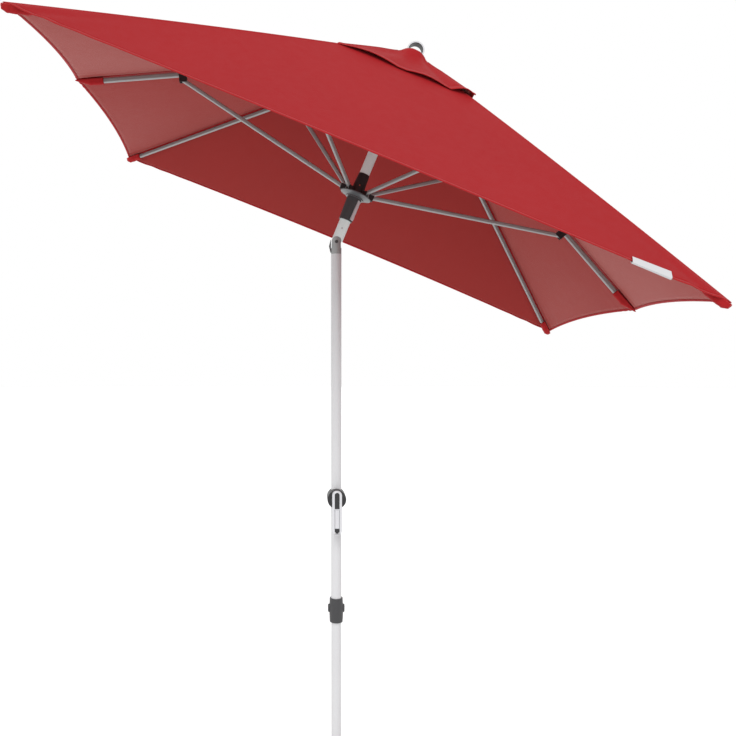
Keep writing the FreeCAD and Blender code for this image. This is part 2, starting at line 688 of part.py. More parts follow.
def rib_place(name):
    """Frame of a rib: origin on its pivot pin, +X along the rib, +Z towards the fabric."""
    slope = rib_slope(name)
    radius = dim("rib_pivot_radius")
    height = (dim("apex_height") - radius * math.tan(math.radians(slope))
              - dim("fabric_gap") / math.cos(math.radians(slope)))
    turn = Rotation(Z, rib_azimuths()[name])
    base = turn.multVec(Vector(radius, 0, height))
    return Placement(base, turn.multiply(Rotation(Y, slope)))


def joint_along(name):
    return dim("mid_joint" if name in ("left", "right") else "corner_joint")


def runner_pivot(name):
    return dim("mid_pivot_radius" if name in ("left", "right") else "corner_pivot_radius")


def make_crown():
    hub = rod("hub_radius", Z * dim("hub_bottom"), "tube_top - hub_bottom")
    slots, pins = [], []
    for name, azimuth in rib_azimuths().items():
        slot = block("100", "slot_width", "60",
                     Vector(dim("hub_core"), -dim("slot_width") / 2, dim("hub_bottom") - 20))
        slots.append(moved(slot, Placement(Vector(), Rotation(Z, azimuth))))
        pin = rod("hinge_radius", Vector(0, -dim("slot_width") / 2 - 2.5, 0), "slot_width + 5",
                  Y)
        pins.append(moved(pin, rib_place(name)))
    pin_ways = [rod("hinge_radius", Vector(0, -8, 0), "16", Y) for _ in pins]
    for way, name in zip(pin_ways, rib_azimuths()):
        moved(way, rib_place(name))
    bore = rod("tube_radius", Z * (dim("hub_bottom") - 1), "through")
    subpart(cut(hub, bore, *slots, *pin_ways), "crown_hub", HEAD)
    subpart(group(pins), "crown_pins", HEAD)

    boss = revolved("finial_base", [
        ("0", "tube_top"), ("boss_low_radius", "tube_top"), ("boss_high_radius", "boss_top"),
        ("0", "boss_top")])
    ring_centre = Vector(0, -dim("ring_half"), dim("ring_centre"))
    whole_ring = rod("ring_radius", ring_centre, "ring_half + ring_half", Y)
    subpart(cut(boss, whole_ring), "finial_base", HEAD)
    inside = "ring_radius - ring_wall"
    bands = {"finial_ring": ("ring_radius", inside),
             "finial_liner": (inside, inside + " - liner_wall")}
    for name, (outer, inner) in bands.items():
        band = cut(rod(outer, ring_centre, "ring_half + ring_half", Y),
                   rod(inner, ring_centre, "ring_half + ring_half", Y))
        subpart(band, name, HEAD)


# ---------------------------------------------------------------- ribs and struts

def make_ribs():
    brackets = []
    for name in rib_azimuths():
        middle = name in ("left", "right")
        reach = dim("mid_reach") if middle else math.hypot(
            dim("canopy_length"), dim("canopy_width")) / 2
        slope = math.radians(rib_slope(name))
        length = (reach - dim("rib_pivot_radius")) / math.cos(slope)
        length -= dim("mid_rib_short" if middle else "rib_short")
        place = rib_place(name)

        rib = new_body("rib_" + name)
        sketch = sketch_on(rib, "YZ_Plane")
        half_width, half_height = "rib_width/2", "rib_height/2"
        add_polygon(sketch, [("- " + half_width, "- " + half_height),
                             (half_width, "- " + half_height), (half_width, half_height),
                             ("- " + half_width, half_height)])
        bar = pad(rib, sketch, "rib_height")
        bar.setExpression("Length", None)
        bar.Length = length + dim("rib_height") / 2
        rounded(rib, "bar_edge", lambda edge: along(edge, X, shortest=100))
        rib.Placement = Placement(X * (-dim("rib_height") / 2), Rotation())
        drilled = cut(rib, rod("hinge_radius", Vector(0, -dim("through") / 2, 0), "through", Y))
        subpart(drilled, "rib_" + name, place)

        brackets.append(moved(make_bracket(), place.multiply(
            Placement(X * joint_along(name), Rotation()))))
        make_strut(name, place)
    subpart(group(brackets), "rib_brackets", HEAD)
    for thing in SUBPARTS:
        if thing.Label.startswith(("rib_", "strut_")) and thing.Label != "rib_brackets":
            moved(thing, HEAD)


def make_bracket():
    """Two cheeks that straddle a rib and carry the pin of its strut below it."""
    cheeks = []
    half = dim("rib_width") / 2
    low = -dim("joint_drop") - dim("strut_height") / 2
    for side in (half, -half - dim("bracket_wall")):
        cheeks.append(block("bracket_half + bracket_half", "bracket_wall",
                            "joint_drop + strut_height/2 + bracket_rise",
                            Vector(-dim("bracket_half"), side, low)))
    pin = rod("hinge_radius", Vector(0, -half - dim("bracket_wall"), -dim("joint_drop")),
              "rib_width + bracket_wall + bracket_wall", Y)
    return fused(*cheeks, pin)


def make_strut(name, place):
    """A strut from its rib's bracket pin to the runner's hinge."""
    outer = place.multVec(Vector(joint_along(name), 0, -dim("joint_drop")))
    turn = Rotation(Z, rib_azimuths()[name])
    inner = turn.multVec(Vector(runner_pivot(name), 0, dim("runner_pivot_height")))
    span = (outer - inner).Length
    rise = math.degrees(math.asin((outer.z - inner.z) / span))

    strut = new_body("strut_" + name)
    sketch = sketch_on(strut, "XZ_Plane")
    half = dim("strut_height") / 2
    quarter = math.pi / 2
    near = sketch.addGeometry(Part.ArcOfCircle(Part.Circle(Vector(0, 0, 0), Z, half),
                                               quarter, 3 * quarter))
    far = sketch.addGeometry(Part.ArcOfCircle(Part.Circle(Vector(span, 0, 0), Z, half),
                                              -quarter, quarter))
    low = sketch.addGeometry(Part.LineSegment(Vector(0, -half, 0), Vector(span, -half, 0)))
    top = sketch.addGeometry(Part.LineSegment(Vector(span, half, 0), Vector(0, half, 0)))
    for one, end, other, meeting in ((near, 2, low, 1), (low, 2, far, 1), (far, 2, top, 1),
                                     (top, 2, near, 1)):
        sketch.addConstraint(Sketcher.Constraint("Coincident", one, end, other, meeting))
    pad(strut, sketch, "strut_width", symmetric=True)
    rounded(strut, "bar_edge", lambda edge: along(edge, X, shortest=100))
    bores = [rod("hinge_radius", Vector(reach, -20, 0), "40", Y) for reach in (0, span)]
    subpart(cut(strut, *bores), "strut_" + name,
            Placement(inner, turn.multiply(Rotation(Y, -rise))))


def make_hinges():
    """Hinge blocks on the runner's dish: two cheeks and a pin for each strut."""
    blocks = []
    height = dim("runner_pivot_height")
    half = dim("strut_width") / 2
    for name, azimuth in rib_azimuths().items():
        radius = runner_pivot(name)
        cheeks = [block("cheek_half + cheek_half", "block_wall",
                        "runner_pivot_height - dish_top + cheek_half",
                        Vector(radius - dim("cheek_half"), side, dim("dish_top")))
                  for side in (half, -half - dim("block_wall"))]
        pin = rod("hinge_radius", Vector(radius, -half - dim("block_wall"), height),
                  "strut_width + block_wall + block_wall", Y)
        blocks.append(moved(fused(*cheeks, pin), Placement(Vector(), Rotation(Z, azimuth))))
    subpart(group(blocks), "runner_hinges", HEAD)


# ---------------------------------------------------------------- fabric

def rim_point(name):
    """Where the canopy's hem meets a rib, in the head's frame."""
    azimuth = math.radians(rib_azimuths()[name])
    if name in ("left", "right"):
        return Vector(dim("mid_reach") * math.cos(azimuth), 0, dim("mid_height"))
    return Vector(math.copysign(dim("canopy_length") / 2, math.cos(azimuth)),
                  math.copysign(dim("canopy_width") / 2, math.sin(azimuth)),
                  dim("corner_height"))


def make_canopy():
    """Six flat panels between the ribs, each with a hollow-curved hem and a vent opening."""
    apex = Vector(0, 0, dim("apex_height"))
    names = list(rib_azimuths())
    panels = []
    for index, name in enumerate(names):
        start, stop = rim_point(name), rim_point(names[(index + 1) % len(names)])
        across = (stop - start).normalize()
        outward = across.cross(apex - start).normalize()
        inward = outward.cross(across)
        frame = Placement(apex, Rotation(across, inward, outward, "ZXY"))
        flat = [frame.inverse().multVec(point) for point in (
            start, stop, apex + (stop - apex) / dim("vent_ratio"),
            apex + (start - apex) / dim("vent_ratio"))]
        sag = dim("end_sag" if "right" == name or "left" == name
                  or names[(index + 1) % len(names)] in ("left", "right") else "long_sag")
        middle = (flat[0] + flat[1]) / 2 + Y * sag

        panel = new_body("canopy_panel")
        sketch = sketch_on(panel, "XY_Plane")
        sketch.addGeometry(Part.Arc(flat[0], middle, flat[1]))
        for one in range(1, 4):
            sketch.addGeometry(Part.LineSegment(flat[one], flat[(one + 1) % 4]))
        for one, end, other, meeting in ((0, 1, 1, 1), (1, 2, 2, 1), (2, 2, 3, 1), (3, 2, 0, 2)):
            sketch.addConstraint(Sketcher.Constraint("Coincident", one, end, other, meeting))
        pad(panel, sketch, "fabric_thickness")
        panel.Placement = frame
        panels.append(panel)
    subpart(group(panels), "canopy_fabric", HEAD)


def pyramid(half_length, half_width, low, high):
    """A four-sided pyramid on a rectangle, as one solid."""
    corners = [Vector(sx * half_length, sy * half_width, low)
               for sx, sy in ((-1, -1), (1, -1), (1, 1), (-1, 1))]
    top = Vector(0, 0, high)
    faces = [Part.Face(Part.makePolygon(corners + corners[:1]))]
    for index in range(4):
        one, other = corners[index], corners[(index + 1) % 4]
        faces.append(Part.Face(Part.makePolygon([one, other, top, one])))
    return Part.makeSolid(Part.makeShell(faces))


def make_cap():
    """Small upper canopy that covers the vent; the finial ring passes through it."""
    low, high = dim("cap_hem_height"), dim("cap_apex_height")
    half_length, half_width = dim("cap_length") / 2, dim("cap_width") / 2
    outer = pyramid(half_length, half_width, low, high)
    inner = pyramid(half_length, half_width, low - dim("cap_drop"), high - dim("cap_drop"))
    ring_way = Part.makeCylinder(dim("ring_radius"), 2 * dim("ring_half"),
                                 Vector(0, -dim("ring_half"), dim("ring_centre")), Y)
    cap = DOC.addObject("Part::Feature", "vent_cap_shape")
    cap.Shape = outer.cut(inner).cut(ring_way)
    subpart(cap, "vent_cap", HEAD)


def make_label():
    """Blank strip of tape folded over the front hem."""
    front_right, front_left = rim_point("front_right"), rim_point("front_left")
    apex = Vector(0, 0, dim("apex_height"))
    across = (front_right - front_left).normalize()
    outward = (apex - front_right).cross(across).normalize()
    if outward.z < 0:
        outward = outward * -1
    inward = outward.cross(across)
    frame = Placement(front_right, Rotation(across, inward, outward, "ZXY"))
    strip = block("label_length", "label_height", "label_thickness",
                  Vector(-dim("label_inset") - dim("label_length") / 2, dim("label_start"),
                         dim("fabric_thickness")))
    subpart(moved(strip, frame), "hem_label", HEAD)


# ---------------------------------------------------------------- check and write

def check_document():
    for thing in DOC.Objects:
        if "Invalid" in thing.State or "Error" in thing.State:
            raise RuntimeError(f"{thing.Label} has failed: {thing.State}")
    for thing in SUBPARTS:
        if thing.Shape.isNull() or not thing.Shape.isValid() or not thing.Shape.Solids:
            raise RuntimeError(f"{thing.Label} has no valid solid")


def write_parts():
    os.makedirs("parts", exist_ok=True)
    for thing in SUBPARTS:
        thing.Shape.exportStep(os.path.join("parts", thing.Label + ".step"))
        print(f"{thing.Label:22s} {len(thing.Shape.Solids)} solids"
              f" {thing.Shape.Volume / 1000:10.2f} cm3")


make_base()
make_pole()
make_crank()
make_tilt_joint()
make_runner()
make_crown()
make_ribs()
make_hinges()
make_canopy()
make_cap()
make_label()
DOC.recompute()
check_document()
write_parts()
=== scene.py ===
import json
import math

import bmesh
import bpy
from mathutils import Matrix, Vector


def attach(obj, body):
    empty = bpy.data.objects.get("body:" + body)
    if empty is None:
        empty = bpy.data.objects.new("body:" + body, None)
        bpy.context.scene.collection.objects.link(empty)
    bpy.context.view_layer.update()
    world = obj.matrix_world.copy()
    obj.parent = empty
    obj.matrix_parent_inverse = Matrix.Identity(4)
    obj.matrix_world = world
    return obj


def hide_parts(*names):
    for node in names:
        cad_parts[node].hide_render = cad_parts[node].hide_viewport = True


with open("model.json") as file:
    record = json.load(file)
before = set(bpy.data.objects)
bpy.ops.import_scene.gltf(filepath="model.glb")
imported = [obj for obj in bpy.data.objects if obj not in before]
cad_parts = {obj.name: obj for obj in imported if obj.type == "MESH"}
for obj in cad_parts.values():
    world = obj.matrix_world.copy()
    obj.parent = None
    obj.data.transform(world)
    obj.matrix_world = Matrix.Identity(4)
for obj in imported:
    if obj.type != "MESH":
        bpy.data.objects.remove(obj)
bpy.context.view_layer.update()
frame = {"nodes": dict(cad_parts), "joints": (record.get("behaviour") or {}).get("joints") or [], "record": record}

# ------------------------------------------------------------------ sizes, in metres
# The canopy is drawn upright about the tilt pivot, z up along the head tube, then turned
# by the head's rest tilt and lifted to the pivot. The head is upright at its lowest angle.
TILT_JOINT = next(j for j in frame["joints"] if j["name"] == "head_tilt")
PIVOT = Vector(TILT_JOINT["pos_m"])
TILT = math.radians(-TILT_JOINT["range_deg"][0])
HEAD = Matrix.Translation(PIVOT) @ Matrix.Rotation(TILT, 4, "Y")

HALF_LENGTH, HALF_WIDTH = 0.900, 0.600
APEX = Vector((0, 0, 0.6375))
CORNER_UP, MID_REACH, MID_UP = 0.1059, 0.943, 0.1607
VENT = 1 / 6                    # the vent opening, as a share of the canopy
LONG_SAG, END_SAG = 0.021, 0.020
RIB_BOW = 0.005                 # how far the ribs bend upwards at their middle
LONG_DIP, END_DIP = 0.012, 0.008
DIP_END = 0.9                   # where the hem lies along the dip's half wave
PULL_RISE, PULL_WAVE = 0.0022, 0.045        # small ripples where a corner pulls the cloth
PULL_DEPTH, PULL_SPREAD = 0.16, 0.10        # how far those reach inwards and sideways
SHEET_LIFT = 0.0008             # of the cloth's middle off the planes from apex to rim

CLOTH = 0.0009
YARN_PITCH = 0.0011
WAVE_PERIOD = 0.314             # of a wave texture's bands at a scale of 1
STITCH_PITCH, STITCH_HALF = 0.0021, 0.0006
HEM_ROW, SEAM_ROW = 0.7, 0.33   # the row of stitches, as a share of the band's width
HEM_WIDTH, HEM_LIFT, NARROW_HEM = 0.008, 0.0011, 0.012
SEAM_WIDTH, CAP_SEAM_WIDTH = 0.015, 0.008
# a seam's section: 1 for towards the next panel, reach as a share of its width, height
SEAM_SECTION = ((0, 0.5, 0.0), (0, 0.48, 0.0012), (0, 0.1, 0.0020), (1, 0.1, 0.0020),
                (1, 0.48, 0.0012), (1, 0.5, 0.0), (1, 0.1, -0.0016), (0, 0.1, -0.0016))

CAP_HALF_LENGTH, CAP_HALF_WIDTH, CAP_MID = 0.215, 0.146, 0.222
CAP_GAP, CAP_GAP_RADIUS = 0.0045, 0.12
CAP_SAG, CAP_FOLD = 0.005, 0.0022
DOME_RADIUS, DOME_TOP, DOME_FALL, DOME_DRAPE = 0.039, 0.643, 0.012, 0.013
CURL_RISE, CURL_SPREAD = 0.014, 0.045       # the cap's curled corner at the front right

# how the cap's hem stands up between its tied points: from, to (rib to rib), and height
FRONT_LOBES = ((0.0, 0.47, 0.012), (0.47, 0.83, 0.010), (0.83, 1.0, 0.012))
BACK_LOBES = ((0.0, 0.40, 0.014), (0.40, 0.72, 0.009), (0.72, 1.0, 0.012))
END_LOBES = ((0.0, 0.55, 0.013), (0.55, 1.0, 0.010))

# a pocket's length, its opening at the rib's tip as a share, and how fast it opens
MID_POCKET = (0.084, 0.15, 1.6)
CORNER_POCKET = (0.061, 0.62, 1.9)
POCKET_HALF, POCKET_DEPTH, POCKET_SKIRT = 0.0092, 0.0215, 0.0140
POCKET_PAST_RIM = 0.005

LABEL_MIDDLE, LABEL_HALF = 0.892, 0.0272    # along the front hem, as shares of its length
LABEL_TOP, LABEL_FOLD = 0.014, 0.010        # above and below the hem, at the label's left end
LABEL_TOP_SKEW, LABEL_FOLD_SKEW = 0.010, -0.004
LABEL_LIFT, LABEL_BACK, LABEL_TAPE = 0.0040, 0.010, 0.0007

RIM = {"front_right": Vector((HALF_LENGTH, -HALF_WIDTH, CORNER_UP)),
       "right": Vector((MID_REACH, 0, MID_UP)),
       "back_right": Vector((HALF_LENGTH, HALF_WIDTH, CORNER_UP)),
       "back_left": Vector((-HALF_LENGTH, HALF_WIDTH, CORNER_UP)),
       "left": Vector((-MID_REACH, 0, MID_UP)),
       "front_left": Vector((-HALF_LENGTH, -HALF_WIDTH, CORNER_UP))}
RIBS = list(RIM)
GORES = [(name, RIBS[(i + 1) % len(RIBS)]) for i, name in enumerate(RIBS)]
FRONT, BACK = ("front_left", "front_right"), ("back_right", "back_left")
LOBES = {FRONT: FRONT_LOBES, BACK: BACK_LOBES}

VIEW_PLACE = Vector((-0.110, -2.235, PIVOT.z - 0.3985))
VIEW_SHIFT = (0.091, 0.0028)
FLOOR_RADIUS, FLOOR_HEIGHT, FLOOR_SIDES = 60.0, -0.0005, 64


# ------------------------------------------------------------------ node materials

class Shader:
    """A Principled material and short calls for the nodes that feed it."""

    def __init__(self, name, colour, roughness, metallic=0.0, **sockets):
        self.material = bpy.data.materials.new(name)
        self.material.use_nodes = True
        self.tree = self.material.node_tree
        self.shader = self.tree.nodes["Principled BSDF"]
        self.colour = (*colour, 1.0)
        self.set("Base Color", self.colour)
        self.set("Roughness", roughness)
        self.set("Metallic", metallic)
        for socket, amount in sockets.items():
            self.set(socket.replace("_", " "), amount)
        self.place = self.node("ShaderNodeTexCoord").outputs["Object"]
        self.height = None

    def set(self, socket, amount):
        self.shader.inputs[socket].default_value = amount

    def node(self, kind, **values):
        made = self.tree.nodes.new(kind)
        for name, amount in values.items():
            if name in made.inputs.keys():
                made.inputs[name].default_value = amount
            else:
                setattr(made, name, amount)
        return made

    def link(self, out, into):
        self.tree.links.new(out, into)

    def noise(self, scale, detail=3.0):
        made = self.node("ShaderNodeTexNoise", Scale=scale, Detail=detail)
        self.link(self.place, made.inputs["Vector"])
        return made.outputs["Fac"]

    def span(self, source, low, high):
        made = self.node("ShaderNodeMapRange")
        made.inputs["To Min"].default_value = low
        made.inputs["To Max"].default_value = high
        self.link(source, made.inputs["Value"])
        return made.outputs["Result"]

    def math(self, operation, one, other):
        made = self.node("ShaderNodeMath", operation=operation)
        for index, item in enumerate((one, other)):
            if isinstance(item, (int, float)):
                made.inputs[index].default_value = item
            else:
                self.link(item, made.inputs[index])
        return made.outputs[0]

    def tint(self, source, dark, light):
        """Multiply the colour by dark to light as source goes from 0.3 to 0.7."""
        ramp = self.node("ShaderNodeValToRGB")
        ramp.color_ramp.elements[0].position = 0.3
        ramp.color_ramp.elements[1].position = 0.7
        base = self.colour
        for element, factor in zip(ramp.color_ramp.elements, (dark, light)):
            element.color = (*(min(1.0, part * factor) for part in base[:3]), 1.0)
        self.link(source, ramp.inputs["Fac"])
        return ramp.outputs["Color"]

    def blend_colour(self, factor, one, other):
        made = self.node("ShaderNodeMix", data_type="RGBA")
        for name, item in (("Factor", factor), ("A", one), ("B", other)):
            socket = next(s for s in made.inputs if s.name == name and s.enabled)
            if isinstance(item, (int, float, tuple)):
                socket.default_value = item
            else:
                self.link(item, socket)
        return next(s for s in made.outputs if s.enabled)

    def use_colour(self, out):
        self.link(out, self.shader.inputs["Base Color"])

    def use_roughness(self, out):
        self.link(out, self.shader.inputs["Roughness"])

    def bump(self, source, strength, distance):
        made = self.node("ShaderNodeBump", Strength=strength, Distance=distance)
        self.link(source, made.inputs["Height"])
        if self.height is not None:
            self.link(self.height, made.inputs["Normal"])
        self.height = made.outputs["Normal"]
        self.link(self.height, self.shader.inputs["Normal"])


def weave(shader, pitch):
    """Over-and-under yarn height, from two crossed sets of bands."""
    bands = []
    for direction in ("X", "Y"):
        wave = shader.node("ShaderNodeTexWave", wave_type="BANDS", bands_direction=direction,
                           Scale=WAVE_PERIOD / pitch, Distortion=0.6, Detail=1.0)
        shader.link(shader.place, wave.inputs["Vector"])
        bands.append(wave.outputs["Fac"])
    return shader.math("MULTIPLY", *bands)


def cloth(name, colour, stitched=False, sheen=0.02, gloss=0.08, sheen_tint=(1, 1, 1)):
    """Woven polyester, with a row of stitches where the piece is a hem."""
    shader = Shader(name, colour, 0.62, Sheen_Weight=sheen, Sheen_Roughness=0.45,
                    Sheen_Tint=(*sheen_tint, 1), Specular_IOR_Level=gloss)
    broad = shader.tint(shader.noise(2.2, 4.0), 0.94, 1.05)
    yarn = shader.tint(shader.noise(620.0, 2.0), 0.93, 1.07)
    mixed = shader.blend_colour(0.5, broad, yarn)
    threads = weave(shader, YARN_PITCH)
    if stitched:        # the UV map runs along the hem in X, and across it from the row in Y
        coords = shader.node("ShaderNodeUVMap")
        parts = shader.node("ShaderNodeSeparateXYZ")
        shader.link(coords.outputs["UV"], parts.inputs[0])
        step = shader.math("PINGPONG", parts.outputs["X"], STITCH_PITCH)
        on_stitch = shader.math("GREATER_THAN", step, STITCH_HALF)
        off_row = shader.math("ABSOLUTE", parts.outputs["Y"], 0.0)
        near_row = shader.math("LESS_THAN", off_row, STITCH_HALF)
        stitch = shader.math("MULTIPLY", on_stitch, near_row)
        mixed = shader.blend_colour(stitch, mixed, (*(part * 0.55 for part in colour), 1.0))
        shader.bump(stitch, 0.5, STITCH_HALF)
    shader.use_colour(mixed)
    shader.use_roughness(shader.span(shader.noise(40.0), 0.55, 0.70))
    shader.bump(threads, 0.25, 0.0003)
    shader.bump(shader.noise(9.0, 2.0), 0.10, 0.004)
    return shader.material


def coated_metal(name, colour, roughness, metallic, grain=260.0):
    """Metal under a thin satin coat."""
    shader = Shader(name, colour, roughness, metallic, Coat_Weight=0.12, Coat_Roughness=0.2)
    broad = shader.tint(shader.noise(5.0), 0.95, 1.04)
    fine = shader.tint(shader.noise(grain), 0.96, 1.04)
    shader.use_colour(shader.blend_colour(0.5, broad, fine))
    shader.use_roughness(shader.span(shader.noise(30.0, 5.0), roughness - 0.06,
                                     roughness + 0.08))
    shader.bump(shader.noise(grain * 4), 0.08, 0.0002)
    return shader.material


def moulded(name, colour, roughness, grain=900.0):
    """Plastic or rubber with a fine moulded grain."""
    shader = Shader(name, colour, roughness, Specular_IOR_Level=0.45)
    broad = shader.tint(shader.noise(12.0), 0.85, 1.15)
    fine = shader.tint(shader.noise(grain), 0.9, 1.12)
    shader.use_colour(shader.blend_colour(0.5, broad, fine))
    shader.use_roughness(shader.span(shader.noise(60.0), roughness - 0.08, roughness + 0.08))
    shader.bump(shader.noise(grain), 0.20, 0.0003)
    return shader.material


def stone(name, colour):
    """Ground granite: dark and light grains under a soft cloud."""
    shader = Shader(name, colour, 0.55)
    speckle = shader.tint(shader.noise(420.0, 1.0), 0.45, 1.35)
    cloud = shader.tint(shader.noise(18.0, 5.0), 0.82, 1.12)
    shader.use_colour(shader.blend_colour(0.5, speckle, cloud))
    shader.use_roughness(shader.span(shader.noise(200.0), 0.4, 0.7))
    shader.bump(shader.noise(300.0), 0.25, 0.0006)
    return shader.material


RED = (0.262, 0.0065, 0.009)
# painted shade: the inner face's red is darker than the outer red to stand for the shade under the canopy
INSIDE_RED_PAINTED_SHADE = (0.228, 0.011, 0.009)
# painted light: the hem cloth's red is lighter than the panels' so hems show as a light line along the edge
HEM_RED_PAINTED_LIGHT = (0.30, 0.011, 0.013)
MATERIALS = {
    "canopy_cloth": cloth("canopy_weave", RED),
    "canopy_inside_painted_shade": cloth("canopy_inside_painted_shade_weave", INSIDE_RED_PAINTED_SHADE, sheen=0.36, gloss=0.16,
                           sheen_tint=(1, 0.70, 0.64)),
    "hem_cloth": cloth("hem_weave", HEM_RED_PAINTED_LIGHT, stitched=True, sheen=0.06),
    "label_tape": cloth("label_weave", (0.47, 0.47, 0.48)),
    "silver_tube": coated_metal("silver_tube_coat", (0.50, 0.50, 0.51), 0.36, 0.15),
    # painted light: the head tube's silver is lighter and green-cyan tinted to undo the red shade under the canopy
    "silver_head": coated_metal("silver_head_painted_light_coat", (0.64, 0.73, 0.72), 0.36, 0.1),
    "silver_trim": coated_metal("silver_trim_coat", (0.52, 0.52, 0.54), 0.30, 0.35),
    "frame_aluminium": coated_metal("frame_aluminium_satin", (0.27, 0.28, 0.28), 0.34, 0.25),
    # painted shade: the dish is much darker than the frame grey to stand for the shade on its underside
    "dish_painted_shade": coated_metal("dish_painted_shade_coat", (0.085, 0.088, 0.092), 0.38, 0.3),
    "zinc_steel": coated_metal("zinc_plate", (0.42, 0.42, 0.44), 0.35, 1.0),
    "coated_steel": coated_metal("black_powder_coat", (0.035, 0.035, 0.037), 0.45, 0.1, 900.0),
    "rivet_copper": coated_metal("rivet_copper_plate", (0.35, 0.12, 0.08), 0.4, 0.8),
    "black_plastic": moulded("black_mould", (0.012, 0.012, 0.013), 0.42),
    "grey_plastic": moulded("grey_mould", (0.030, 0.030, 0.032), 0.48),
    "red_plastic": moulded("red_mould", (0.25, 0.02, 0.025), 0.45),
    "pad_rubber": moulded("pad_rubber_mould", (0.02, 0.02, 0.02), 0.75, 400.0),
    "slab_stone": stone("slab_granite", (0.36, 0.35, 0.33)),
}


def dress_frame():
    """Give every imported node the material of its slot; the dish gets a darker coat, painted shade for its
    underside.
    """
    slots = {item["node"]: item["material_slot"] for item in frame["record"]["subparts"]}
    slots["runner_dish"] = "dish_painted_shade"
    for node, slot in slots.items():
        thing = frame["nodes"][node]
        thing.data.materials.clear()
        thing.data.materials.append(MATERIALS[slot])


# ------------------------------------------------------------------ mesh helpers

def make_piece(name, points, faces, material, uvs=None, smooth=True):
    """An object from points in the head's upright frame."""
    mesh = bpy.data.meshes.new(name)
    mesh.from_pydata([HEAD @ Vector(point) for point in points], [], faces)
    if uvs:
        layer = mesh.uv_layers.new(name="UVMap")
        for loop in mesh.loops:
            layer.data[loop.index].uv = uvs[loop.vertex_index]
    mesh.polygons.foreach_set("use_smooth", [smooth] * len(mesh.polygons))
    thing = bpy.data.objects.new(name, mesh)
    bpy.context.scene.collection.objects.link(thing)
    mesh.materials.append(MATERIALS[material])
    mesh.update()
    return thing


def tidy_mesh(thing, merge=1e-7):
    """Join points that lie closer than merge, and turn every face outwards."""
    work = bmesh.new()
    work.from_mesh(thing.data)
    bmesh.ops.remove_doubles(work, verts=work.verts, dist=merge)
    bmesh.ops.recalc_face_normals(work, faces=work.faces)
    work.to_mesh(thing.data)
    work.free()


def ride_head(thing):
    """Fix a piece to the head's body."""
    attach(thing, "head")
    return thing


def even(start, stop, count):
    """Even steps from start to stop."""
    return [start + (stop - start) * k / count for k in range(count + 1)]


def spread(count):
    """Steps from 0 to 1 that are closer together near both ends."""
    return [(1 - math.cos(math.pi * k / count)) / 2 for k in range(count + 1)]


# ------------------------------------------------------------------ canopy surface

def canopy_point(gore, r, t):
    """A point of the cloth: r from the vent (VENT) to the hem (1), t from rib to rib."""
    start, stop = (RIM[name] for name in gore)
    long_side = abs(start.x - stop.x) > HALF_LENGTH
    across = (stop - start).normalized()
    outward = across.cross(APEX - start).normalized()
    inward = outward.cross(across)
    q = (r - VENT) / (1 - VENT)
    hump = 4 * t * (1 - t)
    point = APEX + (start.lerp(stop, t) - APEX) * r
    point += inward * (LONG_SAG if long_side else END_SAG) * hump * max(q, 0) ** 3
    point -= outward * (LONG_DIP if long_side else END_DIP) * hump * math.sin(
        math.pi * min(max(q, 0), 1) * DIP_END)
    point += Vector((0, 0, RIB_BOW * 4 * q * (1 - q)))
    from_rib = min(t, 1 - t)
    pull = math.exp(-((1 - q) / PULL_DEPTH) ** 2) * math.exp(-(from_rib / PULL_SPREAD) ** 2)
    point += outward * PULL_RISE * pull * math.sin(2 * math.pi * from_rib / PULL_WAVE)
    return point + outward * SHEET_LIFT


def ring_faces(steps, size):
    """Side faces of a closed section carried along some steps, and the two end faces."""
    faces = []
    for k in range(steps):
        for j in range(size):
            a, b = k * size + j, k * size + (j + 1) % size
            faces.append((a, b, b + size, a + size))
    faces.append(tuple(range(size)))
    faces.append(tuple(range(steps * size, (steps + 1) * size)))
    return faces


def sheet_mesh(name, point_at, rows, columns):
    """One continuous cloth of six panels, with its own material on the inner face: a darker red, painted shade for
    the underside.
    """
    points, faces = [], []
    for gore in GORES:
        base = len(points)
        for r in rows:
            points.extend(point_at(gore, r, t) for t in columns)
        width = len(columns)
        for i in range(len(rows) - 1):
            for j in range(width - 1):
                a = base + i * width + j
                faces.append((a, a + 1, a + width + 1, a + width))
    thing = make_piece(name, points, faces, "canopy_cloth")
    tidy_mesh(thing, 2e-5)
    solid = thing.modifiers.new("cloth_thickness", "SOLIDIFY")
    solid.thickness = CLOTH
    solid.offset = 0
    # the inner face gets the darker red of painted shade
    thing.data.materials.append(MATERIALS["canopy_inside_painted_shade"])
    solid.material_offset = 1
    return thing


def frame_at(point_at, gore, r, t, step):
    """Point, direction inwards from the edge, and outward normal there."""
    here = point_at(gore, r, t)
    inner = point_at(gore, r - step, t)
    beside = 0.002
    side = min(max(t, beside), 1 - beside)
    along = point_at(gore, r, side + beside) - point_at(gore, r, side - beside)
    inwards = (inner - here).normalized()
    normal = along.cross(inwards).normalized()
    if normal.z < 0:
        normal = -normal
    return here, inwards, normal


